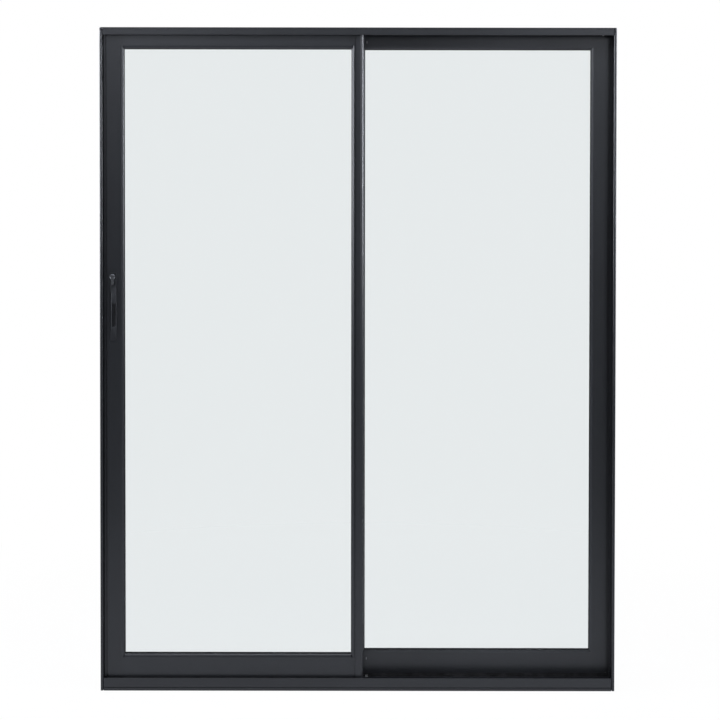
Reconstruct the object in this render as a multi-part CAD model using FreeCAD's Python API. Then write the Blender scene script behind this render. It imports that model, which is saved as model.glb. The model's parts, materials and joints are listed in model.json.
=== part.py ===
import FreeCAD, Part
import math
import os

from FreeCAD import Vector

# A two-panel sliding patio door of powder-coated aluminium, in millimetres.
# +X runs along the wall from the sliding panel to the fixed one, the room is towards -Y, +Z is up.
# The origin is in the middle of the sill's flat underside.

# Frame
frame_width = 1574.0
frame_height = 2030.0
frame_depth = 114.0
wall = 2.0                  # outer walls of the frame extrusions
fin = 1.6                   # thin inner fins of the frame extrusions
head_lip = 22.4             # height of the head's lips
sill_lip = 39.0             # height of the sill's lip on the room side
rear_lip = 24.0             # height of the sill's lip on the outdoor side
jamb_lip = 8.0              # width of the jambs' lips
lip_crown = 2.0             # the jambs' lips are rounded
lip_joint = 1.5             # open joint between them and the ends of the head and sill
lip_return = 10.0           # depth of the leg behind each lip
jamb_fin = 9.0              # reach of the fin between a jamb's two pockets
head_line = 1.2             # fine groove along the head's lip, as deep as it is wide
head_line_drop = 5.5
sill_line = 3.0             # the same along the sill's lip, which is thicker there
sill_line_rise = 9.5
sill_rib = 9.0
sill_rib_depth = 5.0
ledge_depth = 20.0          # sealing ledge behind the sill's lip
weep_length = 26.0          # drain slots through the sill's outdoor lip
weep_height = 5.0
weep_margin = 220.0
screw_hole_r = 3.2          # holes for the screws into the wall
screw_inset = 18.0          # from the outdoor side
screw_margin = 160.0        # from the frame's top and bottom
screw_middle_spacing = 570.0

# Tracks
track_top = 26.0
track_fin = 3.0
track_cap = 0.6             # thickness of the hard strip on the running track
track_cap_skirt = 8.0

# Panels
panel_thick = 30.0
profile_wall = 2.0
panel_lift = 8.0            # room to lift the panel under the head
panel_rise = -1.0           # the panels' lower edge stands just below the top of the sill's lip
top_rail = 55.0
bottom_rail = 70.0
jamb_stile = 64.0           # daylight edge to the tip of the stile's nose
stile_face = 51.0           # daylight edge to the end of the stile's flat face
nose_half = 9.5             # half the thickness of the nose that enters the jamb
rib_start = 55.0            # rib on the nose, seen beside the jamb
rib_end = 60.0
rib_half = 13.5
meeting_stile = 36.0
meeting_pass = 16.5         # the meeting stile passes the middle of the door by this much
stop_width = 10.0           # rounded glazing stop
slim_stop = 7.0             # bevelled stop on the meeting stile
stop_drop = 4.5             # how far the stop falls back at the glass
rear_stop = 6.0             # bevelled stop on a panel's other side
rear_drop = 3.5
pocket_depth = 14.0         # glazing pocket
pocket_width = 18.0
groove_start = 9.0          # groove on the meeting stile, from the daylight edge
groove_depth = 3.5
bullnose_start = 12.5       # raised front of the meeting stile
bullnose_flat = 24.0        # where it starts to round off
bullnose_rise = 3.0
bullnose_fall = 3.0         # its step back at the outer edge

# Interlock between the two meeting stiles
interlock_leg = 1.6
interlock_clear = 5.0
interlock_reach = 3.0       # the tip of each leg passes the middle by this much

# Glass
pane_thick = 4.0
pane_space = 8.0
glass_bite = 10.0           # how far the panes enter the pocket
spacer_inset = 1.0          # spacer behind the panes' edge
spacer_width = 7.0
gasket_lip = 1.2            # gasket seen inside the daylight opening
gasket_back = 3.0           # gasket behind the panes' edge

# Running gear
wheel_tread_r = 15.0
wheel_flange_r = 18.0
wheel_width = 9.0
wheel_groove = 4.6
wheel_bevel = 0.8           # the groove widens by this much each side at the flanges' rim
axle_r = 3.0
axle_boss_r = 5.5
carriage_length = 92.0
carriage_plate = 1.6
carriage_corner = 5.0
carriage_inset = 70.0       # axle from the daylight edge
carriage_rise = 30.0        # reach of the carriage up into the rail
carriage_drop = 3.0         # its reach below the rail
bridge_plate = 3.0
bridge_inset = 5.0
bridge_clear = 2.0          # between the wheel and the bridge over it
open_margin = 7.0           # the open panel stops this far short of a full daylight width
block_length = 60.0         # guides and supports in the rails' channels
guide_play = 0.5
guide_end_play = 3.0
stop_block_length = 46.0
stop_block_width = 18.0
stop_block_height = 20.0

# Handle and lock
handle_height = 1176.5      # middle of the handle plate above the sill's underside
handle_backset = 32.5       # middle of the plate from the daylight edge
plate_width = 23.0
plate_height = 209.0
plate_proud = 3.0
plate_corner = 4.0
body_width = 22.0           # the raised pull on the room side
body_proud = 11.0
body_top_inset = 29.0       # below the top of the plate
body_bottom_inset = 7.0
body_lit_corner = 5.0       # its left edge
body_corner = 2.0
pull_width = 6.0            # the outdoor grip
pull_proud = 13.0
pull_ramp = 16.0
pull_inset = 34.0
pull_corner = 2.0
cup_width = 11.0            # finger cup in the raised pull
cup_height = 70.0
cup_floor = 1.0
cup_margin = 2.0            # cup above the lower end of the pull's crest
crest_spare = 31.0          # the crest is longer than the cup by this much
cup_shift = 3.4             # cup to the right of the middle of the plate
turn_inset = 12.0           # spindle below the top of the plate
turn_stand = 12.0           # the lever's back from the stile's face
turn_stem_r = 4.0
turn_disc_r = 8.5
turn_disc_thick = 3.0
turn_lever_length = 24.0
turn_lever_width = 11.0
turn_lever_thick = 5.0
turn_lever_corner = 3.0
spindle_r = 3.0
spindle_length = 14.0
spindle_room = 1.5          # hole in the stile around the spindle
face_length = 140.0         # faceplate of the lock on the stile's nose
face_width = 14.0
face_thick = 1.2
face_corner = 2.0
hook_slot_length = 40.0
hook_slot_width = 6.0
hook_thick = 4.0
hook_reach = 18.0
hook_play = 1.0
hook_pin_r = 2.0
lock_case_width = 36.0
lock_case_height = 110.0
lock_case_thick = 12.0
lock_case_wall = 1.5
lock_drop = 14.0            # middle of the lock below the spindle
keeper_length = 160.0
keeper_width = 10.0
keeper_thick = 1.5
keeper_slot_length = 50.0
keeper_slot_width = 6.0

# Seals, caps and clips
seal_thick = 4.0
seal_spread = 7.25          # jamb seals either side of the lock's plates
seal_end = 20.0
strip_thick = 2.0
cap_flare = 3.0             # the meeting stile's end cap stands out at its foot
clip_plate = 1.6
clip_length = 8.0
clip_foot = 7.0
clip_inset = 3.0            # clip from the fixed panel's daylight edge

# Clearances
seat_gap = 0.3              # between a seat and the moving piece it carries
pin_fit = 0.05
seal_clear = 1.0            # between a seal and the face that slides past it
moving_clear = 5.0

# Places worked out from the sizes above
half_width = frame_width / 2
half_depth = frame_depth / 2
web_inner = half_width - wall
panel_half = panel_thick / 2
panel_inner = panel_half - profile_wall
panel_gap = 3 * interlock_clear + 2 * interlock_leg
panel_plane = -(panel_gap + panel_thick) / 2
front_face = panel_plane - panel_half
back_face = panel_plane + panel_half
pocket_half = pocket_width / 2
daylight_left = -(web_inner - moving_clear - jamb_stile)
daylight_right = -(meeting_stile - meeting_pass)
nose_tip = daylight_left - jamb_stile
meeting_edge = daylight_right + meeting_stile
panel_top = frame_height - wall - panel_lift
panel_bottom = sill_lip + panel_rise
daylight_top = panel_top - top_rail
daylight_bottom = panel_bottom + bottom_rail
head_low = frame_height - head_lip
guide_fin_low = panel_top - panel_lift
notch_low = guide_fin_low - moving_clear
travel = daylight_right - daylight_left - open_margin
axle_z = track_top + wheel_tread_r + seat_gap
plate_x = daylight_left - handle_backset
plate_low = handle_height - plate_height / 2
plate_high = handle_height + plate_height / 2
plate_front = front_face - plate_proud
turn_z = plate_high - turn_inset
lock_z = turn_z - lock_drop
lock_x = nose_tip + face_thick


def point(plane, a, b, along):
    """A point of a section: XY for uprights, YZ for rails, XZ for flat plates."""
    return {"xy": Vector(a, b, along), "yz": Vector(along, a, b), "xz": Vector(a, along, b)}[plane]


def outline_wire(plane, corners, along):
    """A closed outline. A corner is (a, b), or a pair of such points for an arc to the second."""
    edges = []
    here = corners[0]
    for corner in list(corners[1:]) + [corners[0]]:
        curved = isinstance(corner[0], tuple)
        there = corner[1] if curved else corner
        first, last = point(plane, *here, along), point(plane, *there, along)
        if curved:
            edges.append(Part.Arc(first, point(plane, *corner[0], along), last).toShape())
        else:
            edges.append(Part.makeLine(first, last))
        here = there
    return Part.Wire(edges)


def extrusion(plane, outline, start, end, hollow=None):
    """A straight length of a section, with its hollow chamber."""
    run = point(plane, 0, 0, end - start)
    solid = Part.Face(outline_wire(plane, outline, start)).extrude(run)
    if hollow:
        solid = solid.cut(Part.Face(outline_wire(plane, hollow, start)).extrude(run))
    return solid


def legs_extrusion(plane, legs, start, end):
    """One solid from the crossing legs of a section, each two opposite corners (a0, b0, a1, b1)."""
    bars = []
    for a0, b0, a1, b1 in legs:
        bars.append(extrusion(plane, [(a0, b0), (a1, b0), (a1, b1), (a0, b1)], start, end))
    return bars[0].multiFuse(bars[1:]).removeSplitter()


def box(x0, x1, y0, y1, z0, z1):
    return Part.makeBox(x1 - x0, y1 - y0, z1 - z0, Vector(x0, y0, z0))


def rounded_box(way, radius, x0, x1, y0, y1, z0, z1):
    """A box with its four edges along one direction rounded."""
    block = box(x0, x1, y0, y1, z0, z1)
    along = [e for e in block.Edges if e.tangentAt(e.FirstParameter).cross(way).Length < 0.5]
    return block.makeFillet(radius, along)


def rod(radius, start, way, length):
    return Part.makeCylinder(radius, length, start, way)


def turned(shape):
    """The same piece on the fixed panel, which stands as the sliding panel turned half round."""
    copy = shape.copy()
    copy.rotate(Vector(0, 0, 0), Vector(0, 0, 1), 180)
    return copy


across_wall = Vector(0, 1, 0)
along_wall = Vector(1, 0, 0)


# Frame

def lip_groove(z, width):
    half = width / 2
    return box(-half_width, half_width, -half_depth, -half_depth + width, z - half, z + half)


def coped(track):
    """The head or sill with its corners cut out for the jambs' lips."""
    corner = jamb_lip + lip_joint
    for x in (-half_width, half_width - corner):
        for y in (-half_depth, half_depth - lip_return):
            track = track.cut(box(x, x + corner, y, y + lip_return, 0, frame_height))
    return track


def head_track():
    """Two channels that open downwards, each with a fin that guides a panel's top."""
    legs = [(-half_depth, frame_height - wall, half_depth, frame_height),
            (-fin / 2, head_low, fin / 2, frame_height)]
    for side in (-1, 1):
        face = side * half_depth
        legs.append((face, head_low, face - side * wall, frame_height))
        legs.append((face, head_low, face - side * lip_return, head_low + wall))
        guide = side * panel_plane
        legs.append((guide - fin / 2, guide_fin_low, guide + fin / 2, frame_height))
    track = legs_extrusion("yz", legs, -web_inner, web_inner)
    return coped(track.cut(lip_groove(frame_height - head_line_drop, head_line)))


def sill_track():
    """A lip on the room side, two track fins, a ledge for each panel's seal and a low outdoor lip."""
    legs = [(-half_depth, 0, half_depth, wall),
            (-half_depth, 0, -half_depth + wall, sill_lip),
            (-half_depth, sill_line_rise - sill_rib / 2, -half_depth + sill_rib_depth,
             sill_line_rise + sill_rib / 2),
            (-half_depth, track_top - wall, -half_depth + ledge_depth, track_top),
            (half_depth - wall, 0, half_depth, rear_lip),
            (-fin / 2, 0, fin / 2, track_top),
            (-fin / 2, track_top - fin, -back_face + profile_wall, track_top)]
    for y in (panel_plane, -panel_plane):
        legs.append((y - track_fin / 2, 0, y + track_fin / 2, track_top - track_cap))
    track = coped(legs_extrusion("yz", legs, -web_inner, web_inner))
    track = track.cut(lip_groove(sill_line_rise, sill_line))
    for x in (-half_width + weep_margin, half_width - weep_margin):
        track = track.cut(box(x - weep_length / 2, x + weep_length / 2, half_depth - wall, half_depth,
                              wall, wall + weep_height))
    return track


def sill_track_cap():
    """The thin hard strip that the wheels run on, folded over the sill's track fin."""
    half = track_fin / 2
    outer = half + track_cap
    low = track_top - track_cap_skirt
    legs = [(panel_plane - outer, track_top - track_cap, panel_plane + outer, track_top),
            (panel_plane - outer, low, panel_plane - half, track_top),
            (panel_plane + half, low, panel_plane + outer, track_top)]
    return legs_extrusion("yz", legs, -web_inner, web_inner)


def jamb(side):
    """A channel with a rounded lip on each face, a fin between its pockets and screw holes to the wall."""
    lip = side * (half_width - jamb_lip)
    web, outer = side * web_inner, side * half_width
    shoulder = half_depth - lip_crown
    legs = [(web, -shoulder, outer, shoulder),
            (side * (web_inner - jamb_fin), -fin / 2, outer, fin / 2)]
    lips = []
    for face in (-1, 1):
        edge, back = face * shoulder, face * (shoulder - wall)
        crown = ((lip + outer) / 2, face * half_depth)
        lips.append(extrusion("xy", [(lip, back), (lip, edge), (crown, (outer, edge)), (outer, back)],
                              0, frame_height))
        legs.append((lip, edge, lip + side * wall, face * (half_depth - lip_return)))
    post = legs_extrusion("xy", legs, 0, frame_height).multiFuse(lips).removeSplitter()
    middle, spread = frame_height / 2, screw_middle_spacing / 2
    for z in (screw_margin, middle - spread, middle + spread, frame_height - screw_margin):
        start = Vector(web, half_depth - screw_inset, z)
        post = post.cut(rod(screw_hole_r, start, side * along_wall, wall))
    return post


# Profiles of a panel, as (distance from the daylight edge, depth from the panel's middle plane)

def easing(width, drop):
    """Middle of an arc that leaves a flat face and falls back by a drop over a width."""
    radius = (width ** 2 + drop ** 2) / (2 * drop)
    half_turn = math.asin(width / radius) / 2
    return radius * math.sin(half_turn), radius * (1 - math.cos(half_turn))


def front_stop(width):
    """The stop on the room side from the glass to the flat face; only the wide one is rounded."""
    edge, face = (0, stop_drop - panel_half), (width, -panel_half)
    if width < stop_width:
        return [edge, face]
    along, back = easing(width, stop_drop)
    return [edge, ((width - along, back - panel_half), face)]


def jamb_stile_section():
    """Stops, flat faces, and a nose with a rib on one side; one hollow chamber."""
    outline = [(0, -pocket_half), *front_stop(stop_width), (stile_face, -panel_half),
               (stile_face, -nose_half), (rib_start, -nose_half), (rib_start, -rib_half),
               (rib_end, -rib_half), (rib_end, -nose_half), (jamb_stile, -nose_half),
               (jamb_stile, nose_half), (stile_face, nose_half), (stile_face, panel_half),
               (rear_stop, panel_half), (0, panel_half - rear_drop), (0, pocket_half),
               (pocket_depth, pocket_half), (pocket_depth, -pocket_half)]
    inner, tip = pocket_depth + profile_wall, jamb_stile - profile_wall
    step, slim = stile_face - profile_wall, nose_half - profile_wall
    hollow = [(inner, -panel_inner), (step, -panel_inner), (step, -slim), (tip, -slim), (tip, slim),
              (step, slim), (step, panel_inner), (inner, panel_inner)]
    return outline, hollow


def meeting_stile_section():
    """Slim stop, a groove and a raised front that rounds off; flat towards the other panel."""
    groove, crest = -panel_half + groove_depth, -panel_half - bullnose_rise
    along, back = easing(meeting_stile - bullnose_flat, bullnose_rise + bullnose_fall)
    outline = [(0, -pocket_half), *front_stop(slim_stop), (groove_start, -panel_half),
               (groove_start, groove), (bullnose_start, groove), (bullnose_start, crest),
               (bullnose_flat, crest),
               ((bullnose_flat + along, crest + back), (meeting_stile, -panel_half + bullnose_fall)),
               (meeting_stile, panel_half),
               (rear_stop, panel_half), (0, panel_half - rear_drop), (0, pocket_half),
               (pocket_depth, pocket_half), (pocket_depth, -pocket_half)]
    inner, outer = pocket_depth + profile_wall, meeting_stile - profile_wall
    front = groove + profile_wall
    hollow = [(inner, front), (outer, front), (outer, panel_inner), (inner, panel_inner)]
    return outline, hollow


def rail_section(height):
    """Glazing pocket towards the glass and an open channel away from it."""
    web = pocket_depth + profile_wall
    return [(0, -pocket_half), *front_stop(stop_width), (height, -panel_half),
            (height, -panel_inner), (web, -panel_inner), (web, panel_inner), (height, panel_inner),
            (height, panel_half), (rear_stop, panel_half), (0, panel_half - rear_drop),
            (0, pocket_half), (pocket_depth, pocket_half), (pocket_depth, -pocket_half)]


def placed(section, edge, way):
    """A section put with its daylight edge at a place along X or Z, growing to one side."""
    def put(p):
        return (edge + way * p[0], panel_plane + p[1])
    return [tuple(put(q) for q in p) if isinstance(p[0], tuple) else put(p) for p in section]


def flipped(section):
    """The same section with its two coordinates changed over, as a rail's outline needs them."""
    return [tuple(q[::-1] for q in p) if isinstance(p[0], tuple) else p[::-1] for p in section]


def upright(section, edge, way):
    """A stile, notched at its top for the head's guide fin."""
    outline, hollow = (placed(part, edge, way) for part in section)
    stile = extrusion("xy", outline, panel_bottom, panel_top, hollow)
    half = fin / 2 + moving_clear
    return stile.cut(box(-half_width, half_width, panel_plane - half, panel_plane + half,
                         notch_low, panel_top))


def stile_room(daylight, way, width):
    """The room that a stile takes up beyond the daylight edge, to cope the rails' ends."""
    outline = [*front_stop(width), (2 * width, -panel_half), (2 * width, panel_half),
               (rear_stop, panel_half), (0, panel_half - rear_drop)]
    return extrusion("xy", placed(outline, daylight, way), panel_bottom, panel_top)


def rail(edge, way, height):
    """A rail coped over the stiles' stops; its own stop ends at the daylight opening."""
    start, end = daylight_left - stop_width, daylight_right + slim_stop
    bar = extrusion("yz", flipped(placed(rail_section(height), edge, way)), start, end)
    bar = bar.cut(stile_room(daylight_left, -1, stop_width))
    bar = bar.cut(stile_room(daylight_right, 1, slim_stop))
    for x0, x1 in ((start, daylight_left), (daylight_right, end)):
        for y0, y1, width in ((front_face, panel_plane, stop_width), (panel_plane, back_face, rear_stop)):
            low, high = sorted((edge, edge + way * width))
            bar = bar.cut(box(x0, x1, y0, y1, low, high))
    return bar


def daylight_block(grow, depth0, depth1):
    """A block in the panel's plane that covers the daylight opening, grown on all four sides."""
    return box(daylight_left - grow, daylight_right + grow, panel_plane + depth0, panel_plane + depth1,
               daylight_bottom - grow, daylight_top + grow)


def ring(outer, inner, half):
    """A frame round the daylight opening, between two distances outside its edge."""
    return daylight_block(outer, -half, half).cut(daylight_block(inner, -half, half))


def interlock():
    """An L-shaped leg on the back of the meeting stile that hooks behind the other panel's leg."""
    layer = panel_gap / 2 - interlock_clear
    legs = [(meeting_edge, back_face, meeting_edge - interlock_leg, layer),
            (meeting_edge, layer, -interlock_reach, layer - interlock_leg)]
    return legs_extrusion("xy", legs, panel_bottom, head_low - moving_clear)


def interlock_seal():
    """The pile strip on the leg's tip, brushing the other panel's stile."""
    layer = panel_gap / 2 - interlock_clear
    return box(-interlock_reach, interlock_reach, layer, -back_face - seal_clear,
               panel_bottom, head_low - moving_clear)


def panel():
    """The pieces that both panels share, where the sliding panel stands."""
    space = pane_space / 2
    outer = space + pane_thick
    spacer_outer = glass_bite - spacer_inset
    gasket = ring(glass_bite + gasket_back, -gasket_lip, pocket_half)
    return {"top_rail": rail(daylight_top, 1, top_rail),
            "bottom_rail": rail(daylight_bottom, -1, bottom_rail),
            "jamb_stile": upright(jamb_stile_section(), daylight_left, -1),
            "meeting_stile": upright(meeting_stile_section(), daylight_right, 1),
            "interlock": interlock(),
            "interlock_seal": interlock_seal(),
            "pane_inside": daylight_block(glass_bite, -outer, -space),
            "pane_outside": daylight_block(glass_bite, space, outer),
            "glass_spacer": ring(spacer_outer, spacer_outer - spacer_width, space),
            "glazing_gasket": gasket.cut(daylight_block(glass_bite, -outer, outer))}


# Running gear

def roller_wheel(x):
    """A grooved wheel that straddles the track."""
    half, groove = wheel_width / 2, wheel_groove / 2
    bore = axle_r + pin_fit
    outline = [(bore, -half), (wheel_flange_r, -half), (wheel_flange_r, -groove - wheel_bevel),
               (wheel_tread_r, -groove), (wheel_tread_r, groove),
               (wheel_flange_r, groove + wheel_bevel), (wheel_flange_r, half), (bore, half)]
    section = [(x + r, panel_plane + w) for r, w in outline]
    face = Part.Face(outline_wire("xy", section, axle_z))
    return face.revolve(Vector(x, panel_plane, axle_z), across_wall, 360)


def roller_carriage(x):
    """Two cheek plates and a bridge that hold the wheel's axle inside the bottom rail."""
    inner = panel_inner - carriage_plate
    x0, x1 = x - carriage_length / 2, x + carriage_length / 2
    low, high = panel_bottom - carriage_drop, panel_bottom + carriage_rise
    bridge_low = axle_z + wheel_flange_r + bridge_clear
    pieces = [box(x0 + bridge_inset, x1 - bridge_inset, panel_plane - inner, panel_plane + inner,
                  bridge_low, bridge_low + bridge_plate),
              rod(axle_r, Vector(x, panel_plane - panel_inner, axle_z), across_wall, 2 * panel_inner)]
    for side in (-1, 1):
        near, far = sorted((panel_plane + side * inner, panel_plane + side * panel_inner))
        pieces.append(rounded_box(across_wall, carriage_corner, x0, x1, near, far, low, high))
        pieces.append(rod(axle_boss_r, Vector(x, panel_plane + side * inner, axle_z),
                          -side * across_wall, inner - wheel_width / 2 - seat_gap))
    return pieces[0].multiFuse(pieces[1:]).removeSplitter()


def channel_blocks(low, high, slot_half, slot_low, slot_high):
    """Two blocks in a rail's open channel that straddle a fin of the head or sill."""
    blocks = []
    for x in (daylight_left + block_length, daylight_right - block_length):
        x0, x1 = x - block_length / 2, x + block_length / 2
        block = box(x0, x1, panel_plane - panel_inner, panel_plane + panel_inner, low, high)
        blocks.append(block.cut(box(x0, x1, panel_plane - slot_half, panel_plane + slot_half,
                                    slot_low, slot_high)))
    return Part.makeCompound(blocks)


def top_blocks(play, end_play):
    web = daylight_top + pocket_depth + profile_wall
    return channel_blocks(web, panel_top, fin / 2 + play, guide_fin_low - end_play, panel_top)


def support_blocks():
    web = daylight_bottom - pocket_depth - profile_wall
    return channel_blocks(wall, web, track_fin / 2, wall, track_top - track_cap)


def head_stop_block():
    """The block in the head that stops the open panel and keeps it from being lifted out."""
    x0 = meeting_edge + travel + moving_clear
    x1 = x0 + stop_block_length
    top = frame_height - wall
    half = stop_block_width / 2
    block = box(x0, x1, panel_plane - half, panel_plane + half, top - stop_block_height, top)
    return block.cut(box(x0, x1, panel_plane - fin / 2, panel_plane + fin / 2, guide_fin_low, top))


# Handle and lock

def handle_blank(y0, y1):
    """The outline that the plates on both sides share."""
    return rounded_box(across_wall, plate_corner, plate_x - plate_width / 2, plate_x + plate_width / 2,
                       y0, y1, plate_low, plate_high)


def grip(face, crest, ramp, x0, width, low, high, corners):
    """A raised bar along a plate, ramped at both ends, with its two long front edges rounded."""
    outline = [(face, low), (crest, low + ramp), (crest, high - ramp), (face, high)]
    bar = extrusion("yz", outline, x0, x0 + width)
    for x, corner in zip((x0, x0 + width), corners):
        edge = [e for e in bar.Edges if abs(e.CenterOfMass.y - crest) < pin_fit
                and abs(e.CenterOfMass.x - x) < pin_fit]
        bar = bar.makeFillet(corner, edge)
    return bar


def handle_plate():
    """The plate on the room side and the raised pull on it, with its finger cup."""
    crest = front_face - body_proud
    low, high = plate_low + body_bottom_inset, plate_high - body_top_inset
    ramp = (high - low - cup_height - crest_spare) / 2
    pull = grip(plate_front, crest, ramp, plate_x - plate_width / 2, body_width, low, high,
                (body_lit_corner, body_corner))
    body = handle_blank(plate_front, front_face).fuse(pull).removeSplitter()
    x, z = plate_x + cup_shift, low + ramp + cup_margin + cup_height / 2
    body = body.cut(box(x - cup_width / 2, x + cup_width / 2, crest, front_face - cup_floor,
                        z - cup_height / 2, z + cup_height / 2))
    return body.cut(rod(spindle_r + pin_fit, Vector(plate_x, plate_front, turn_z), across_wall,
                        plate_proud))


def outside_pull():
    """The plain pull on the outdoor side."""
    outer = back_face + plate_proud
    pull = grip(outer, back_face + pull_proud, pull_ramp, plate_x - pull_width / 2, pull_width,
                plate_low + pull_inset, plate_high - pull_inset, (pull_corner, pull_corner))
    return handle_blank(back_face, outer).fuse(pull).removeSplitter()


def thumb_turn():
    """A disc on a spindle, with a lever that hangs down and turns clear of the raised pull."""
    seat = plate_front - seat_gap
    back = front_face - turn_stand
    half = turn_lever_width / 2
    lever = rounded_box(across_wall, turn_lever_corner, plate_x - half, plate_x + half,
                        back - turn_lever_thick, back, turn_z - turn_lever_length, turn_z + half)
    hub = Vector(plate_x, seat, turn_z)
    return lever.multiFuse([rod(turn_disc_r, Vector(plate_x, back, turn_z), -across_wall, turn_disc_thick),
                            rod(turn_stem_r, hub, -across_wall, seat - back),
                            rod(spindle_r, hub, across_wall, spindle_length)]).removeSplitter()


def lock_outline(x0, x1, width, length):
    """A thin plate across the door's thickness, centred on the lock."""
    return rounded_box(along_wall, face_corner, x0, x1, panel_plane - width / 2, panel_plane + width / 2,
                       lock_z - length / 2, lock_z + length / 2)


def lock_slot(x0, x1, width, length):
    return box(x0, x1, panel_plane - width / 2, panel_plane + width / 2,
               lock_z - length / 2, lock_z + length / 2)


def lock_faceplate():
    plate = lock_outline(nose_tip, lock_x, face_width, face_length)
    return plate.cut(lock_slot(nose_tip, lock_x, hook_slot_width, hook_slot_length))


def lock_keeper():
    """The plate let into the lock jamb that the hook catches."""
    outer = -web_inner - keeper_thick
    plate = lock_outline(outer, -web_inner, keeper_width, keeper_length)
    return plate.cut(lock_slot(outer, -web_inner, keeper_slot_width, keeper_slot_length))


def lock_case():
    """The lock's case inside the stile, open towards the slot of the faceplate."""
    far = lock_x + lock_case_width
    case = lock_slot(lock_x, far, lock_case_thick, lock_case_height)
    case = case.cut(lock_slot(lock_x, far - lock_case_wall, hook_slot_width, hook_slot_length))
    return case.cut(rod(spindle_r + pin_fit, Vector(plate_x, panel_plane - lock_case_thick / 2, turn_z),
                        across_wall, lock_case_thick / 2))


def lock_hook():
    """The hook on its pin, drawn back inside the case."""
    tall = hook_slot_length / 2 - hook_play
    beak = hook_reach / 2
    outline = [(hook_reach, -tall), (hook_reach, tall), (0, tall), (0, tall / 3), (beak, tall / 2),
               (beak, -tall)]
    plate = extrusion("xz", [(lock_x + a, lock_z + b) for a, b in outline],
                      panel_plane - hook_thick / 2, panel_plane + hook_thick / 2)
    pin_x = lock_x + (beak + hook_reach) / 2
    return plate.fuse(rod(hook_pin_r, Vector(pin_x, panel_plane - hook_slot_width / 2, lock_z - tall / 2),
                          across_wall, hook_slot_width))


# Seals, caps and clips

def jamb_seals(stop):
    """Two strips in a jamb's pocket that the stile's nose closes against."""
    strips = []
    for y in (panel_plane - seal_spread, panel_plane + seal_spread):
        strips.append(box(-web_inner, stop, y - seal_thick / 2, y + seal_thick / 2,
                          track_top + seal_end, head_low - seal_end))
    return Part.makeCompound(strips)


def head_seal(gap):
    """A pile strip behind the head's lip, towards the fronts of the panel's stiles."""
    end = web_inner - jamb_lip
    return box(-end, end, -half_depth + lip_return, front_face - bullnose_rise - gap,
               head_low, head_low + seal_thick)


def sill_seal(x0, x1, face, gap):
    """A strip under the room side wall of a bottom rail, down to the sill's ledge."""
    return box(x0, x1, face, face + strip_thick, track_top + gap, panel_bottom)


def stile_cap():
    """The end cap below the bullnose of the sliding panel's meeting stile."""
    x0, low = daylight_right + bullnose_start, track_top + moving_clear
    outline = [(x0, low), (meeting_edge + cap_flare, low), (meeting_edge, panel_bottom), (x0, panel_bottom)]
    return extrusion("xz", outline, front_face - bullnose_rise, front_face)


def panel_clip():
    """The small angle on the sill's ledge at the fixed panel's foot, beside its meeting stile."""
    x0 = -daylight_right + clip_inset
    face = -back_face
    legs = [(face - clip_foot, track_top, face, track_top + clip_plate),
            (face - clip_plate, track_top, face, panel_bottom - moving_clear)]
    return legs_extrusion("yz", legs, x0, x0 + clip_length)


def build():
    shapes = {"lock_jamb": jamb(-1), "fixed_jamb": jamb(1)}
    for name, track in (("head_track", head_track()), ("sill_track", sill_track())):
        shapes[name] = track.cut(shapes["lock_jamb"]).cut(shapes["fixed_jamb"])
    keeper_room = lock_outline(-half_width, -web_inner, keeper_width, keeper_length)
    shapes["lock_jamb"] = shapes["lock_jamb"].cut(keeper_room)
    shapes["lock_keeper"] = lock_keeper()
    shapes["sill_track_cap"] = sill_track_cap()
    shapes["head_stop_block"] = head_stop_block()
    shapes["lock_jamb_seal"] = jamb_seals(nose_tip - seat_gap)
    shapes["fixed_jamb_seal"] = turned(jamb_seals(nose_tip))
    shapes["head_seal"] = head_seal(seal_clear)
    shapes["head_rear_seal"] = turned(head_seal(seat_gap))

    for name, piece in panel().items():
        shapes["sliding_" + name] = piece
        shapes["fixed_" + name] = turned(piece)
    shapes["fixed_top_blocks"] = turned(top_blocks(0, 0))
    shapes["fixed_support_blocks"] = turned(support_blocks())
    shapes["fixed_sill_seal"] = sill_seal(-meeting_edge, web_inner, -back_face, 0)
    shapes["fixed_panel_clip"] = panel_clip()

    nose_room = lock_outline(nose_tip, nose_tip + profile_wall, face_width, face_length)
    stile = shapes.pop("sliding_jamb_stile").cut(nose_room)
    shapes["sliding_lock_stile"] = stile.cut(rod(spindle_r + spindle_room,
                                                 Vector(plate_x, front_face, turn_z), across_wall,
                                                 profile_wall))
    shapes["sliding_top_guides"] = top_blocks(guide_play, guide_end_play)
    shapes["sliding_sill_seal"] = sill_seal(daylight_left - stile_face, meeting_edge, front_face, seal_clear)
    shapes["sliding_stile_cap"] = stile_cap()
    for name, x in (("left", daylight_left + carriage_inset), ("right", daylight_right - carriage_inset)):
        shapes["roller_carriage_" + name] = roller_carriage(x)
        shapes["roller_wheel_" + name] = roller_wheel(x)
    shapes["handle_plate"] = handle_plate()
    shapes["outside_pull"] = outside_pull()
    shapes["lock_faceplate"] = lock_faceplate()
    shapes["lock_case"] = lock_case()
    shapes["lock_hook"] = lock_hook()
    shapes["thumb_turn"] = thumb_turn()
    return shapes


os.makedirs("parts", exist_ok=True)
for node, shape in build().items():
    shape.exportStep(os.path.join("parts", node + ".step"))
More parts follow.
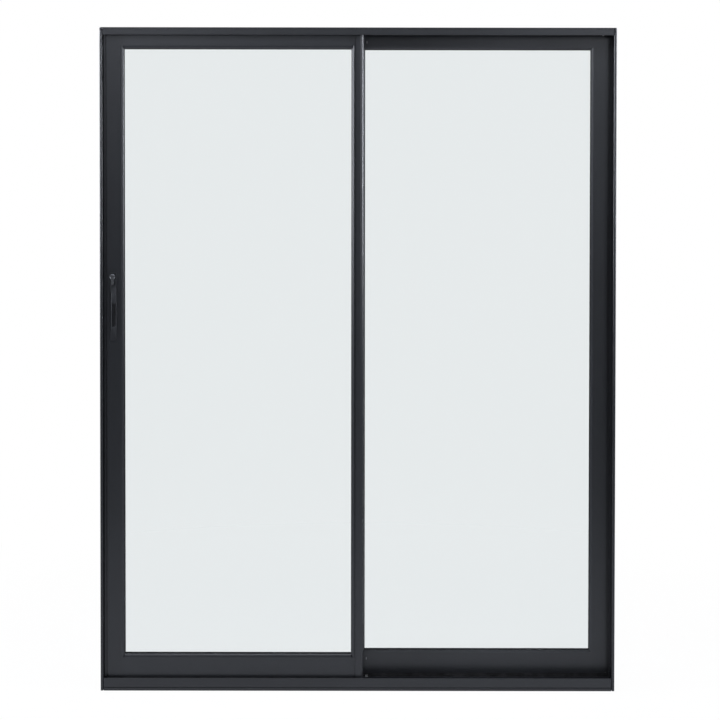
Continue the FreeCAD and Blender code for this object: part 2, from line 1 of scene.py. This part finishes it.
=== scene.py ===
import bpy
import json
import math
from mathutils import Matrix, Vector


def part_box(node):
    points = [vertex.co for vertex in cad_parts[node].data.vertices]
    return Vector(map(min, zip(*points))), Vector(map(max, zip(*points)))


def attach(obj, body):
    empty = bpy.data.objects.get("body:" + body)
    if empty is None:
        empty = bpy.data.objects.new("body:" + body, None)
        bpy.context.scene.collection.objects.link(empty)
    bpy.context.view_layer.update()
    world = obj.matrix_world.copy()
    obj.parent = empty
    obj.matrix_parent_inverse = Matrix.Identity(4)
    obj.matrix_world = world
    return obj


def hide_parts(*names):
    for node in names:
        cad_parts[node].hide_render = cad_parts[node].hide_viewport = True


# Sliding patio door: finishes for the CAD parts, handle pieces, screws and pads, studio and camera

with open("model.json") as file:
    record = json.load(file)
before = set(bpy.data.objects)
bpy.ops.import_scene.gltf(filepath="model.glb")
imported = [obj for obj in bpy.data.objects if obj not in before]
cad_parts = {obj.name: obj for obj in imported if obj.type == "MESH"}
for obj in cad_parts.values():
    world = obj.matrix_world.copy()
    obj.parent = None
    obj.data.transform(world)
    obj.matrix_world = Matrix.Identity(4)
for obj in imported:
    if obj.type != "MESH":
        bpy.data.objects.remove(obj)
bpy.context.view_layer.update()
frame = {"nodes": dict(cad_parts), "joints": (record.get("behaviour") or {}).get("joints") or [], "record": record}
nodes = frame["nodes"]
mm = 0.001


def deselectAll():
    for item in list(bpy.context.selected_objects):
        item.select_set(False)


def makeActive(piece):
    deselectAll()
    piece.select_set(True)
    bpy.context.view_layer.objects.active = piece


deselectAll()
print("frame loaded,", len(nodes), "parts")


# Finishes

def startMaterial(name):
    material = bpy.data.materials.new(name)
    material.use_nodes = True
    tree = material.node_tree
    shader = tree.nodes["Principled BSDF"]
    place = tree.nodes.new("ShaderNodeTexCoord").outputs["Object"]
    return material, tree, shader, place


def addNoise(tree, place, scale, detail=2.0, stretch=None):
    if stretch:
        mapping = tree.nodes.new("ShaderNodeMapping")
        mapping.inputs["Scale"].default_value = stretch
        tree.links.new(place, mapping.inputs["Vector"])
        place = mapping.outputs["Vector"]
    noise = tree.nodes.new("ShaderNodeTexNoise")
    noise.inputs["Scale"].default_value = scale
    noise.inputs["Detail"].default_value = detail
    tree.links.new(place, noise.inputs["Vector"])
    return noise.outputs["Fac"]


noiseSpan = (0.3, 0.7)    # a noise node seldom gives less or more


def addTones(tree, factor, dark, light):
    ramp = tree.nodes.new("ShaderNodeValToRGB")
    for element, position, tone in zip(ramp.color_ramp.elements, noiseSpan, (dark, light)):
        element.position = position
        element.color = (*tone, 1)
    tree.links.new(factor, ramp.inputs["Fac"])
    return ramp.outputs["Color"]


def addRange(tree, factor, low, high):
    spread = tree.nodes.new("ShaderNodeMapRange")
    spread.inputs["From Min"].default_value, spread.inputs["From Max"].default_value = noiseSpan
    spread.inputs["To Min"].default_value = low
    spread.inputs["To Max"].default_value = high
    tree.links.new(factor, spread.inputs["Value"])
    return spread.outputs["Result"]


def addBump(tree, factor, strength, depth):
    bump = tree.nodes.new("ShaderNodeBump")
    bump.inputs["Strength"].default_value = strength
    bump.inputs["Distance"].default_value = depth
    tree.links.new(factor, bump.inputs["Height"])
    return bump.outputs["Normal"]


# 1 for rays of the named kinds, 0 for the others
def rayShare(tree, *names):
    path = tree.nodes.new("ShaderNodeLightPath")
    share = path.outputs[names[0]]
    for name in names[1:]:
        most = tree.nodes.new("ShaderNodeMath")
        most.operation = "MAXIMUM"
        tree.links.new(share, most.inputs[0])
        tree.links.new(path.outputs[name], most.inputs[1])
        share = most.outputs["Value"]
    return share


def mixShaders(tree, share, first, second):
    mix = tree.nodes.new("ShaderNodeMixShader")
    tree.links.new(share, mix.inputs["Fac"])
    tree.links.new(first, mix.inputs[1])
    tree.links.new(second, mix.inputs[2])
    return mix.outputs["Shader"]


def metalFinish(name, look):
    material, tree, shader, place = startMaterial(name)
    cloud = addNoise(tree, place, look["cloudScale"], detail=3.0)
    tree.links.new(addTones(tree, cloud, look["dark"], look["light"]), shader.inputs["Base Color"])
    grain = addNoise(tree, place, look["grainScale"], stretch=look.get("grainStretch"))
    tree.links.new(addRange(tree, grain, *look["roughness"]), shader.inputs["Roughness"])
    shader.inputs["Metallic"].default_value = look["metallic"]
    shader.inputs["Specular IOR Level"].default_value = look["specular"]
    normal = addBump(tree, grain, look["bump"], look["bumpDepth"])
    tree.links.new(normal, shader.inputs["Normal"])
    return material


finishes = {
    # frame_aluminium is the panels' powder coat made darker: painted shade over the whole frame
    "frame_aluminium": {  # satin powder coat, fine orange peel
        "dark": (0.0104, 0.0110, 0.0126), "light": (0.0130, 0.0138, 0.0157), "cloudScale": 2.2,
        "grainScale": 650.0, "roughness": (0.29, 0.37), "metallic": 0.0, "specular": 0.5,
        "bump": 0.12, "bumpDepth": 0.00015},
    "panel_aluminium": {
        "dark": (0.0122, 0.0130, 0.0148), "light": (0.0152, 0.0161, 0.0183), "cloudScale": 2.6,
        "grainScale": 700.0, "roughness": (0.28, 0.36), "metallic": 0.0, "specular": 0.5,
        "bump": 0.12, "bumpDepth": 0.00015},
    "handle_metal": {
        "dark": (0.0120, 0.0127, 0.0143), "light": (0.0160, 0.0169, 0.0190), "cloudScale": 9.0,
        "grainScale": 900.0, "roughness": (0.40, 0.48), "metallic": 0.0, "specular": 0.32,
        "bump": 0.1, "bumpDepth": 0.0001},
    "turn_metal": {
        "dark": (0.32, 0.325, 0.335), "light": (0.42, 0.425, 0.435), "cloudScale": 20.0,
        "grainScale": 1200.0, "roughness": (0.16, 0.24), "metallic": 1.0, "specular": 0.5,
        "bump": 0.06, "bumpDepth": 0.00005},
    "spacer_aluminium": {
        "dark": (0.16, 0.16, 0.165), "light": (0.24, 0.24, 0.245), "cloudScale": 12.0,
        "grainScale": 300.0, "grainStretch": (1.0, 20.0, 1.0), "roughness": (0.35, 0.5), "metallic": 1.0,
        "specular": 0.5, "bump": 0.08, "bumpDepth": 0.0001},
    "steel": {
        "dark": (0.42, 0.42, 0.42), "light": (0.55, 0.55, 0.54), "cloudScale": 15.0,
        "grainScale": 500.0, "grainStretch": (0.1, 1.0, 1.0), "roughness": (0.26, 0.42), "metallic": 1.0,
        "specular": 0.5, "bump": 0.1, "bumpDepth": 0.00008},
    "black_nylon": {
        "dark": (0.010, 0.010, 0.011), "light": (0.016, 0.016, 0.017), "cloudScale": 30.0,
        "grainScale": 1500.0, "roughness": (0.45, 0.6), "metallic": 0.0, "specular": 0.4,
        "bump": 0.2, "bumpDepth": 0.0001},
    "black_rubber": {
        "dark": (0.006, 0.006, 0.0065), "light": (0.010, 0.010, 0.0105), "cloudScale": 40.0,
        "grainScale": 1800.0, "roughness": (0.55, 0.75), "metallic": 0.0, "specular": 0.3,
        "bump": 0.15, "bumpDepth": 0.0001},
    "pile_seal": {
        "dark": (0.006, 0.006, 0.0065), "light": (0.020, 0.020, 0.021), "cloudScale": 60.0,
        "grainScale": 900.0, "grainStretch": (1.0, 0.08, 0.15), "roughness": (0.8, 0.95), "metallic": 0.0,
        "specular": 0.2, "bump": 0.9, "bumpDepth": 0.0006},
}
materials = {slot: metalFinish(slot, look) for slot, look in finishes.items()}

glassLook = {"clear": (0.896, 0.914, 0.918), "denser": (0.890, 0.909, 0.914), "ior": 1.2, "wave": 0.4}


def glassFinish(look):
    material, tree, shader, place = startMaterial("glass")
    drift = addNoise(tree, place, look["wave"], detail=1.0)
    tree.links.new(addTones(tree, drift, look["denser"], look["clear"]), shader.inputs["Base Color"])
    shader.inputs["Transmission Weight"].default_value = 1.0
    shader.inputs["Roughness"].default_value = 0.0
    shader.inputs["IOR"].default_value = look["ior"]
    # plain transparency for shadow rays, so that the panes cast no dark shadows
    clear = tree.nodes.new("ShaderNodeBsdfTransparent")
    clear.inputs["Color"].default_value = (*look["clear"], 1)
    shown = mixShaders(tree, rayShare(tree, "Is Shadow Ray"), shader.outputs["BSDF"], clear.outputs["BSDF"])
    tree.links.new(shown, tree.nodes["Material Output"].inputs["Surface"])
    return material


materials["glass"] = glassFinish(glassLook)

for part in frame["record"]["subparts"]:
    node = nodes[part["node"]]
    for slot in node.material_slots:
        slot.material = materials[part["material_slot"]]
print("finishes given")


# Modelling helpers

sharpAngle = 35    # degrees, from here on a turn between two faces is an edge


def addBlock(name, low, high):
    deselectAll()
    low, high = Vector(low), Vector(high)
    bpy.ops.mesh.primitive_cube_add(size=1, location=(low + high) / 2)
    piece = bpy.context.object
    piece.name = name
    piece.scale = high - low
    bpy.ops.object.transform_apply(location=True, rotation=True, scale=True)
    return piece


def addRod(name, start, direction, radius, length, sides):
    deselectAll()
    start, direction = Vector(start), Vector(direction).normalized()
    bpy.ops.mesh.primitive_cylinder_add(vertices=sides, radius=radius, depth=length,
                                        location=start + direction * length / 2,
                                        rotation=direction.to_track_quat("Z", "Y").to_euler())
    piece = bpy.context.object
    piece.name = name
    bpy.ops.object.transform_apply(location=True, rotation=True, scale=True)
    return piece


def pickNothing(piece, kind):
    makeActive(piece)
    bpy.ops.object.mode_set(mode="EDIT")
    bpy.ops.mesh.select_mode(type=kind)
    bpy.ops.mesh.select_all(action="DESELECT")
    bpy.ops.object.mode_set(mode="OBJECT")


def pickFaces(piece, test):
    pickNothing(piece, "FACE")
    for face in piece.data.polygons:
        face.select = test(face)
    bpy.ops.object.mode_set(mode="EDIT")


def pickEdges(piece, test):
    pickNothing(piece, "EDGE")
    points = piece.data.vertices
    for edge in piece.data.edges:
        a, b = points[edge.vertices[0]].co, points[edge.vertices[1]].co
        edge.select = test((a + b) / 2, (b - a).normalized())
    bpy.ops.object.mode_set(mode="EDIT")


def backToObject():
    bpy.ops.object.mode_set(mode="OBJECT")


# test gets an edge's middle and its direction
def bevelEdges(piece, test, width, segments):
    pickEdges(piece, test)
    bpy.ops.mesh.bevel(offset=width, segments=segments, affect="EDGES")
    backToObject()


def applyModifiers(piece):
    makeActive(piece)
    for modifier in list(piece.modifiers):
        bpy.ops.object.modifier_apply(modifier=modifier.name)


def softenEdges(piece, width, segments=2, angle=sharpAngle):
    bevel = piece.modifiers.new("softEdges", "BEVEL")
    bevel.width = width
    bevel.segments = segments
    bevel.limit_method = "ANGLE"
    bevel.angle_limit = math.radians(angle)
    applyModifiers(piece)


def combine(piece, other, operation):
    boolean = piece.modifiers.new(operation.lower(), "BOOLEAN")
    boolean.operation = operation
    boolean.solver = "EXACT"
    boolean.object = other
    applyModifiers(piece)
    bpy.data.objects.remove(other)


def finishPiece(piece, body, slot, *replaced):
    makeActive(piece)
    bpy.ops.object.shade_smooth_by_angle(angle=math.radians(sharpAngle))
    piece.data.materials.clear()
    piece.data.materials.append(materials[slot])
    if replaced:
        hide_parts(*replaced)
    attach(piece, body)


# Handle, thumb turn, outside pull

plateLow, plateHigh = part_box("handle_plate")
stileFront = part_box("sliding_top_rail")[0].y   # the face that the handle stands on

# litCorner is the pull's chamfer on the lock side, cupLip the slanting cut under the finger cup
handle = {
    "plateProud": 3 * mm, "plateCorner": 4 * mm, "plateRim": 0.7 * mm,
    "pullInset": 3 * mm, "pullWidth": 19 * mm, "pullTopInset": 29 * mm, "pullBottomInset": 7 * mm,
    "pullProud": 11 * mm, "pullRamp": 36 * mm, "litCorner": 5 * mm, "otherCorner": 2 * mm,
    "cupCentre": (-745.1 * mm, 1152 * mm), "cupSize": (11 * mm, 70 * mm), "cupCorner": 1.5 * mm,
    "cupLip": 2.4 * mm, "cupFloor": 1 * mm, "sunk": 0.5 * mm, "cutOver": 2 * mm, "softEdge": 0.45 * mm,
}


def alongY(mid, way):
    return abs(way.y) > 0.9


# a raised bar: the long front edges are shaped first, then both ends lean back by the ramp
def ridgeBar(name, x0, x1, faceY, crestY, z0, z1, ramp, corners, segments=(6, 6)):
    bar = addBlock(name, (x0, min(faceY, crestY), z0), (x1, max(faceY, crestY), z1))
    for x, corner, steps in zip((x0, x1), corners, segments):
        bevelEdges(bar, lambda mid, way: abs(mid.x - x) < 0.1 * mm and abs(mid.y - crestY) < 0.1 * mm
                   and abs(way.z) > 0.9, corner, steps)
    middle = (z0 + z1) / 2
    for point in bar.data.vertices:
        height = (point.co.y - faceY) / (crestY - faceY)
        point.co.z = middle + (point.co.z - middle) * (1 - 2 * ramp * height / (z1 - z0))
    return bar


def plateBlank(name, low, high, frontY, corner, rim):
    plate = addBlock(name, low, high)
    bevelEdges(plate, alongY, corner, 6)
    bevelEdges(plate, lambda mid, way: abs(mid.y - frontY) < 0.05 * mm and abs(way.y) < 0.1, rim, 3)
    return plate


def makeHandle(look):
    front = stileFront - look["plateProud"]
    plate = plateBlank("pullHandle", (plateLow.x, front, plateLow.z),
                       (plateHigh.x, stileFront, plateHigh.z), front, look["plateCorner"], look["plateRim"])
    crest = stileFront - look["pullProud"]
    left = plateLow.x + look["pullInset"]
    bar = ridgeBar("pullBar", left, left + look["pullWidth"], front + look["sunk"], crest,
                   plateLow.z + look["pullBottomInset"], plateHigh.z - look["pullTopInset"],
                   look["pullRamp"], (look["litCorner"], look["otherCorner"]), (1, 6))
    combine(plate, bar, "UNION")
    (cx, cz), (w, h) = look["cupCentre"], look["cupSize"]
    cup = addBlock("cupCutter", (cx - w / 2, crest - look["cutOver"], cz - h / 2),
                   (cx + w / 2, stileFront - look["cupFloor"], cz + h / 2))
    bevelEdges(cup, alongY, look["cupCorner"], 5)
    combine(plate, cup, "DIFFERENCE")
    half = look["cupLip"] / math.sqrt(2)
    reach = w / 2 - look["cupCorner"]
    lip = addBlock("cupLipCutter", (-reach, -half, -half), (reach, half, half))
    lip.rotation_euler.x = math.radians(45)
    lip.location = (cx, crest, cz - h / 2)
    bpy.ops.object.transform_apply(location=True, rotation=True, scale=True)
    combine(plate, lip, "DIFFERENCE")
    softenEdges(plate, look["softEdge"])
    finishPiece(plate, "sliding_panel", "handle_metal", "handle_plate")


makeHandle(handle)

turn = {"discRadius": 8.5 * mm, "discThick": 3 * mm, "leverWidth": 11 * mm, "leverTip": 8 * mm,
        "leverThick": 5 * mm, "leverLength": 24 * mm, "leverCorner": 3 * mm, "dishRim": 1.6 * mm,
        "dishDepth": 0.8 * mm, "stemRadius": 4 * mm, "sunk": 1 * mm, "softEdge": 0.9 * mm}


def makeThumbTurn(look):
    low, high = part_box("thumb_turn")
    pivot = Vector(next(j["pos_m"] for j in frame["joints"] if j["name"] == "thumb_turn_pivot"))
    back = low.y + look["leverThick"]
    disc = addRod("thumbTurn", (pivot.x, back, pivot.z), (0, -1, 0), look["discRadius"],
                  look["discThick"], 48)
    pickFaces(disc, lambda f: f.normal.y < -0.9)
    bpy.ops.mesh.inset(thickness=look["dishRim"], depth=-look["dishDepth"])
    backToObject()
    half = look["leverWidth"] / 2
    lever = addBlock("lever", (pivot.x - half, low.y, pivot.z - look["leverLength"]),
                     (pivot.x + half, back, pivot.z + half))
    pickFaces(lever, lambda f: f.normal.z < -0.9)
    taper = look["leverTip"] / look["leverWidth"]
    bpy.ops.transform.resize(value=(taper, 1, 1), center_override=(pivot.x, back, low.z))
    backToObject()
    bevelEdges(lever, alongY, look["leverCorner"], 6)
    combine(disc, lever, "UNION")
    stem = addRod("stem", (pivot.x, back - look["sunk"], pivot.z), (0, 1, 0), look["stemRadius"],
                  high.y - back + look["sunk"], 24)
    combine(disc, stem, "UNION")
    softenEdges(disc, look["softEdge"], 3)
    finishPiece(disc, "thumb_turn", "turn_metal", "thumb_turn")


makeThumbTurn(turn)

outside = {"plateProud": 3 * mm, "plateCorner": 4 * mm, "plateRim": 0.7 * mm, "pullWidth": 6 * mm,
           "pullProud": 13 * mm, "pullInset": 34 * mm, "pullRamp": 16 * mm, "corner": 2 * mm,
           "sunk": 0.5 * mm, "softEdge": 0.45 * mm}


def makeOutsidePull(look):
    low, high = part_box("outside_pull")
    back = low.y + look["plateProud"]
    plate = plateBlank("outsidePull", low, (high.x, back, high.z), back, look["plateCorner"],
                       look["plateRim"])
    middle = (low.x + high.x) / 2
    bar = ridgeBar("outsideBar", middle - look["pullWidth"] / 2, middle + look["pullWidth"] / 2,
                   back - look["sunk"], low.y + look["pullProud"], low.z + look["pullInset"],
                   high.z - look["pullInset"], look["pullRamp"], (look["corner"], look["corner"]))
    combine(plate, bar, "UNION")
    softenEdges(plate, look["softEdge"])
    finishPiece(plate, "sliding_panel", "handle_metal", "outside_pull")


makeOutsidePull(outside)
print("handle pieces made")


# Screws

# shares of the head's radius (crownIn) and of its height (the rest)
screwHead = {"sides": 28, "crownIn": 0.35, "crownRise": 0.25, "recessFloor": 0.35, "softEdge": 0.12,
             "softAngle": 50}


# a crowned head with a cross recess, each arm a third of the recess wide
def makeScrew(name, radius, height, recess):
    look = screwHead
    head = addRod(name, (0, 0, 0), (0, 0, 1), radius, height, look["sides"])
    pickFaces(head, lambda f: f.normal.z > 0.9)
    bpy.ops.mesh.inset(thickness=radius * look["crownIn"], depth=height * look["crownRise"])
    backToObject()
    arm = recess / 6
    cross = addBlock(name + "Cross", (-arm, -arm, height * look["recessFloor"]), (arm, arm, height * 2))
    pickFaces(cross, lambda f: abs(f.normal.z) < 0.1)
    bpy.ops.mesh.extrude_faces_move(TRANSFORM_OT_shrink_fatten={"value": recess / 3})
    backToObject()
    combine(head, cross, "DIFFERENCE")
    softenEdges(head, height * look["softEdge"], 2, look["softAngle"])
    return head


def placeScrews(pattern, name, body, slot, places, direction):
    turnTo = Vector(direction).to_track_quat("Z", "Y").to_matrix().to_4x4()
    for number, place in enumerate(places, 1):
        screw = pattern.copy()
        screw.data = pattern.data.copy()
        screw.name = "%s_%d" % (name, number)
        bpy.context.scene.collection.objects.link(screw)
        screw.data.transform(turnTo)
        for point in screw.data.vertices:
            point.co += Vector(place)
        finishPiece(screw, body, slot)


panHead = makeScrew("panHead", 5.0 * mm, 2.4 * mm, 4.5 * mm)
flatHead = makeScrew("flatHead", 3.2 * mm, 0.6 * mm, 2.6 * mm)
smallHead = makeScrew("smallHead", 3.6 * mm, 1.8 * mm, 3.2 * mm)

screwPlaces = {
    "wallHeights": (160 * mm, 730 * mm, 1300 * mm, 1870 * mm), "wallY": 39 * mm, "jambWall": 2 * mm,
    "plateSpread": 62 * mm, "keeperSpread": 70 * mm,
    "railScrews": (62 * mm, 92 * mm, 1988 * mm, 2004 * mm),
    "stopFromEnd": 9 * mm, "stopForward": 4.5 * mm,
}


def makeScrews(look):
    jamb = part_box("lock_jamb")[0].x + look["jambWall"]
    for name, side in (("lockWallScrew", 1), ("fixedWallScrew", -1)):    # the jambs mirror each other
        spots = [(side * jamb, look["wallY"], z) for z in look["wallHeights"]]
        placeScrews(panHead, name, "door_frame", "steel", spots, (side, 0, 0))
    low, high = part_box("lock_keeper")
    mid = (low + high) / 2
    spots = [(high.x, mid.y, mid.z + s * look["keeperSpread"]) for s in (-1, 1)]
    placeScrews(flatHead, "keeperScrew", "door_frame", "steel", spots, (1, 0, 0))
    low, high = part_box("lock_faceplate")
    mid = (low + high) / 2
    spots = [(low.x, mid.y, mid.z + s * look["plateSpread"]) for s in (-1, 1)]
    placeScrews(flatHead, "faceplateScrew", "sliding_panel", "steel", spots, (-1, 0, 0))
    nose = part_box("sliding_lock_stile")[0].x
    spots = [(nose, mid.y, z) for z in look["railScrews"]]
    placeScrews(flatHead, "noseScrew", "sliding_panel", "panel_aluminium", spots, (-1, 0, 0))
    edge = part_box("sliding_meeting_stile")[1].x
    spots = [(edge, mid.y, z) for z in look["railScrews"]]
    placeScrews(flatHead, "meetingScrew", "sliding_panel", "panel_aluminium", spots, (1, 0, 0))
    spots = [(-edge, -mid.y, z) for z in look["railScrews"]]
    placeScrews(flatHead, "fixedMeetingScrew", "door_frame", "panel_aluminium", spots, (-1, 0, 0))
    low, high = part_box("head_stop_block")
    spots = [(high.x - look["stopFromEnd"], (low.y + high.y) / 2 - look["stopForward"], low.z)]
    placeScrews(smallHead, "stopScrew", "door_frame", "steel", spots, (0, 0, -1))


makeScrews(screwPlaces)
for pattern in (panHead, flatHead, smallHead):
    bpy.data.objects.remove(pattern)
print("screws placed")


# Lugs on the fixed panel's rails

lugs = {"x": 26 * mm, "heights": (1987 * mm, 83 * mm), "width": 3 * mm, "tall": 7.5 * mm, "proud": 1.5 * mm,
        "corner": 1.2 * mm, "softEdge": 0.3 * mm}


def makeLugs(look):
    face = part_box("fixed_top_rail")[0].y
    left, right = look["x"] - look["width"] / 2, look["x"] + look["width"] / 2
    for number, z in enumerate(look["heights"], 1):
        lug = addBlock("railLug_%d" % number, (left, face - look["proud"], z - look["tall"] / 2),
                       (right, face, z + look["tall"] / 2))
        bevelEdges(lug, alongY, look["corner"], 4)
        softenEdges(lug, look["softEdge"])
        finishPiece(lug, "door_frame", "spacer_aluminium")


makeLugs(lugs)


# the soft pad that closes the corner under the fixed panel's nose, against draughts
cornerPad = {"reach": 16 * mm, "behindSeal": 1 * mm, "depth": 13 * mm, "gap": 0.3 * mm,
             "softEdge": 1.5 * mm}


def makeCornerPad(look):
    low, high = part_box("fixed_sill_seal")
    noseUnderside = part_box("fixed_jamb_stile")[0].z
    pad = addBlock("cornerPad", (high.x - look["reach"], high.y + look["behindSeal"], low.z + look["gap"]),
                   (high.x - look["gap"], high.y + look["depth"], noseUnderside - look["gap"]))
    softenEdges(pad, look["softEdge"], 3)
    finishPiece(pad, "door_frame", "pile_seal")


makeCornerPad(cornerPad)
print("lugs and corner pad made")


# Studio

studio = {
    "white": (1, 1, 1), "fillTint": (0.92, 0.96, 1.06), "fill": 0.11,
    "floorSize": 60, "floorDrop": 0.0005,                   # just under the sill, clear of its underside
    "floorTones": ((0.80, 0.80, 0.80), (0.82, 0.82, 0.82)), "floorCloud": 1.5, "floorRoughness": 0.9,
    "floorSpecular": 0.1,
    "floorShare": (0.97, 1.0), "floorFade": (1.0, 2.5),     # white share of the floor, near and far
    "floorShine": (0.9, 0.12), "shineFade": (1.2, 4.2),     # what the paint mirrors of it
    "lampTint": (0.92, 0.96, 1.05),
    "lamps": (  # name, place, aimed at, width, height, watts
        ("frontLeft", (-1.5, -5.5, 2.72), (0, 0, 1.6), 1.0, 1.0, 12.5),
        ("frontRight", (1.5, -5.5, 2.72), (0, 0, 1.6), 1.0, 1.0, 13),
        ("highLeft", (-3.2, -3.0, 2.7), (-0.8, 0, 1.8), 1.0, 0.9, 32),
        ("highRight", (3.2, -3.0, 2.7), (0.8, 0, 1.8), 1.0, 0.9, 32),
        ("lowRight", (2.3, -4.8, 1.5), (0.4, 0, 1.3), 0.4, 1.3, 10),
        ("overhead", (0.0, -1.5, 3.1), (0, 0, 0.8), 3.0, 1.0, 36),
        ("rightStrip", (2.6, -0.55, 1.75), (0, 0, 1.75), 0.25, 1.0, 50),
        ("leftStrip", (-2.6, -0.55, 1.85), (0, 0, 1.85), 0.25, 1.3, 75),
        ("backLeft", (-1.9, 5.0, 3.5), (0, 0, 1.2), 1.4, 1.0, 42),
        ("backRight", (1.9, 5.0, 3.5), (0, 0, 1.2), 1.4, 1.0, 42),
    ),
}


# a value that eases from near to far around the door
def fadeOut(tree, place, near, far, values):
    length = tree.nodes.new("ShaderNodeVectorMath")
    length.operation = "LENGTH"
    tree.links.new(place, length.inputs[0])
    fade = tree.nodes.new("ShaderNodeMapRange")
    fade.interpolation_type = "SMOOTHSTEP"
    fade.inputs["From Min"].default_value = near
    fade.inputs["From Max"].default_value = far
    fade.inputs["To Min"].default_value, fade.inputs["To Max"].default_value = values
    tree.links.new(length.outputs["Value"], fade.inputs["Value"])
    return fade.outputs["Result"]


def makeWorld(look):
    world = bpy.data.worlds.new("studioWorld")
    bpy.context.scene.world = world
    world.use_nodes = True
    tree = world.node_tree
    fill = tree.nodes["Background"]
    fill.inputs["Color"].default_value = (*look["fillTint"], 1)
    fill.inputs["Strength"].default_value = look["fill"]
    white = tree.nodes.new("ShaderNodeBackground")
    white.inputs["Color"].default_value = (*look["white"], 1)
    white.inputs["Strength"].default_value = 1.0
    seen = rayShare(tree, "Is Camera Ray", "Is Transmission Ray")
    shown = mixShaders(tree, seen, fill.outputs["Background"], white.outputs["Background"])
    tree.links.new(shown, tree.nodes["World Output"].inputs["Surface"])


def makeFloor(look):
    deselectAll()
    bpy.ops.mesh.primitive_plane_add(size=look["floorSize"], location=(0, 0, -look["floorDrop"]))
    floor = bpy.context.object
    floor.name = "studioFloor"
    material, tree, shader, place = startMaterial("floorFinish")
    cloud = addNoise(tree, place, look["floorCloud"])
    tree.links.new(addTones(tree, cloud, *look["floorTones"]), shader.inputs["Base Color"])
    shader.inputs["Roughness"].default_value = look["floorRoughness"]
    shader.inputs["Specular IOR Level"].default_value = look["floorSpecular"]
    glow = tree.nodes.new("ShaderNodeEmission")
    glow.inputs["Color"].default_value = (*look["white"], 1)
    glow.inputs["Strength"].default_value = 1.0
    shine = tree.nodes.new("ShaderNodeEmission")
    shine.inputs["Color"].default_value = (*look["fillTint"], 1)
    tree.links.new(fadeOut(tree, place, *look["shineFade"], look["floorShine"]), shine.inputs["Strength"])
    white = mixShaders(tree, fadeOut(tree, place, *look["floorFade"], look["floorShare"]),
                       shader.outputs["BSDF"], glow.outputs["Emission"])
    seen = rayShare(tree, "Is Camera Ray", "Is Transmission Ray")
    mirrored = rayShare(tree, "Is Glossy Ray")
    shown = mixShaders(tree, mirrored, shader.outputs["BSDF"], shine.outputs["Emission"])
    shown = mixShaders(tree, seen, shown, white)
    tree.links.new(shown, tree.nodes["Material Output"].inputs["Surface"])
    floor.data.materials.append(material)


def makeLamps(look):
    for name, place, aim, width, height, watts in look["lamps"]:
        data = bpy.data.lights.new(name, "AREA")
        data.shape = "RECTANGLE"
        data.size, data.size_y, data.energy = width, height, watts
        data.color = look["lampTint"]
        lamp = bpy.data.objects.new(name, data)
        bpy.context.scene.collection.objects.link(lamp)
        lamp.location = place
        lamp.rotation_euler = (Vector(aim) - Vector(place)).to_track_quat("-Z", "Y").to_euler()


makeWorld(studio)
makeFloor(studio)
makeLamps(studio)

# fitted to the edges of frame and glass in the photo
camera = {"place": (0.0925, -6.1698, 1.7627), "tiltDown": 1.404, "roll": -0.0807, "lens": 100.433,
          "sensor": 36, "shift": (-0.03954, -0.27127), "sight": 200}


def makeCamera(look):
    data = bpy.data.cameras.new("photoCamera")
    data.lens = look["lens"]
    data.sensor_width = look["sensor"]
    data.shift_x, data.shift_y = look["shift"]
    data.clip_end = look["sight"]
    view = bpy.data.objects.new("photoCamera", data)
    bpy.context.scene.collection.objects.link(view)
    view.location = look["place"]
    view.rotation_euler = (math.radians(90 - look["tiltDown"]), math.radians(look["roll"]), 0)
    bpy.context.scene.camera = view


makeCamera(camera)
bpy.context.scene.view_settings.view_transform = "Standard"
print("studio and camera set")
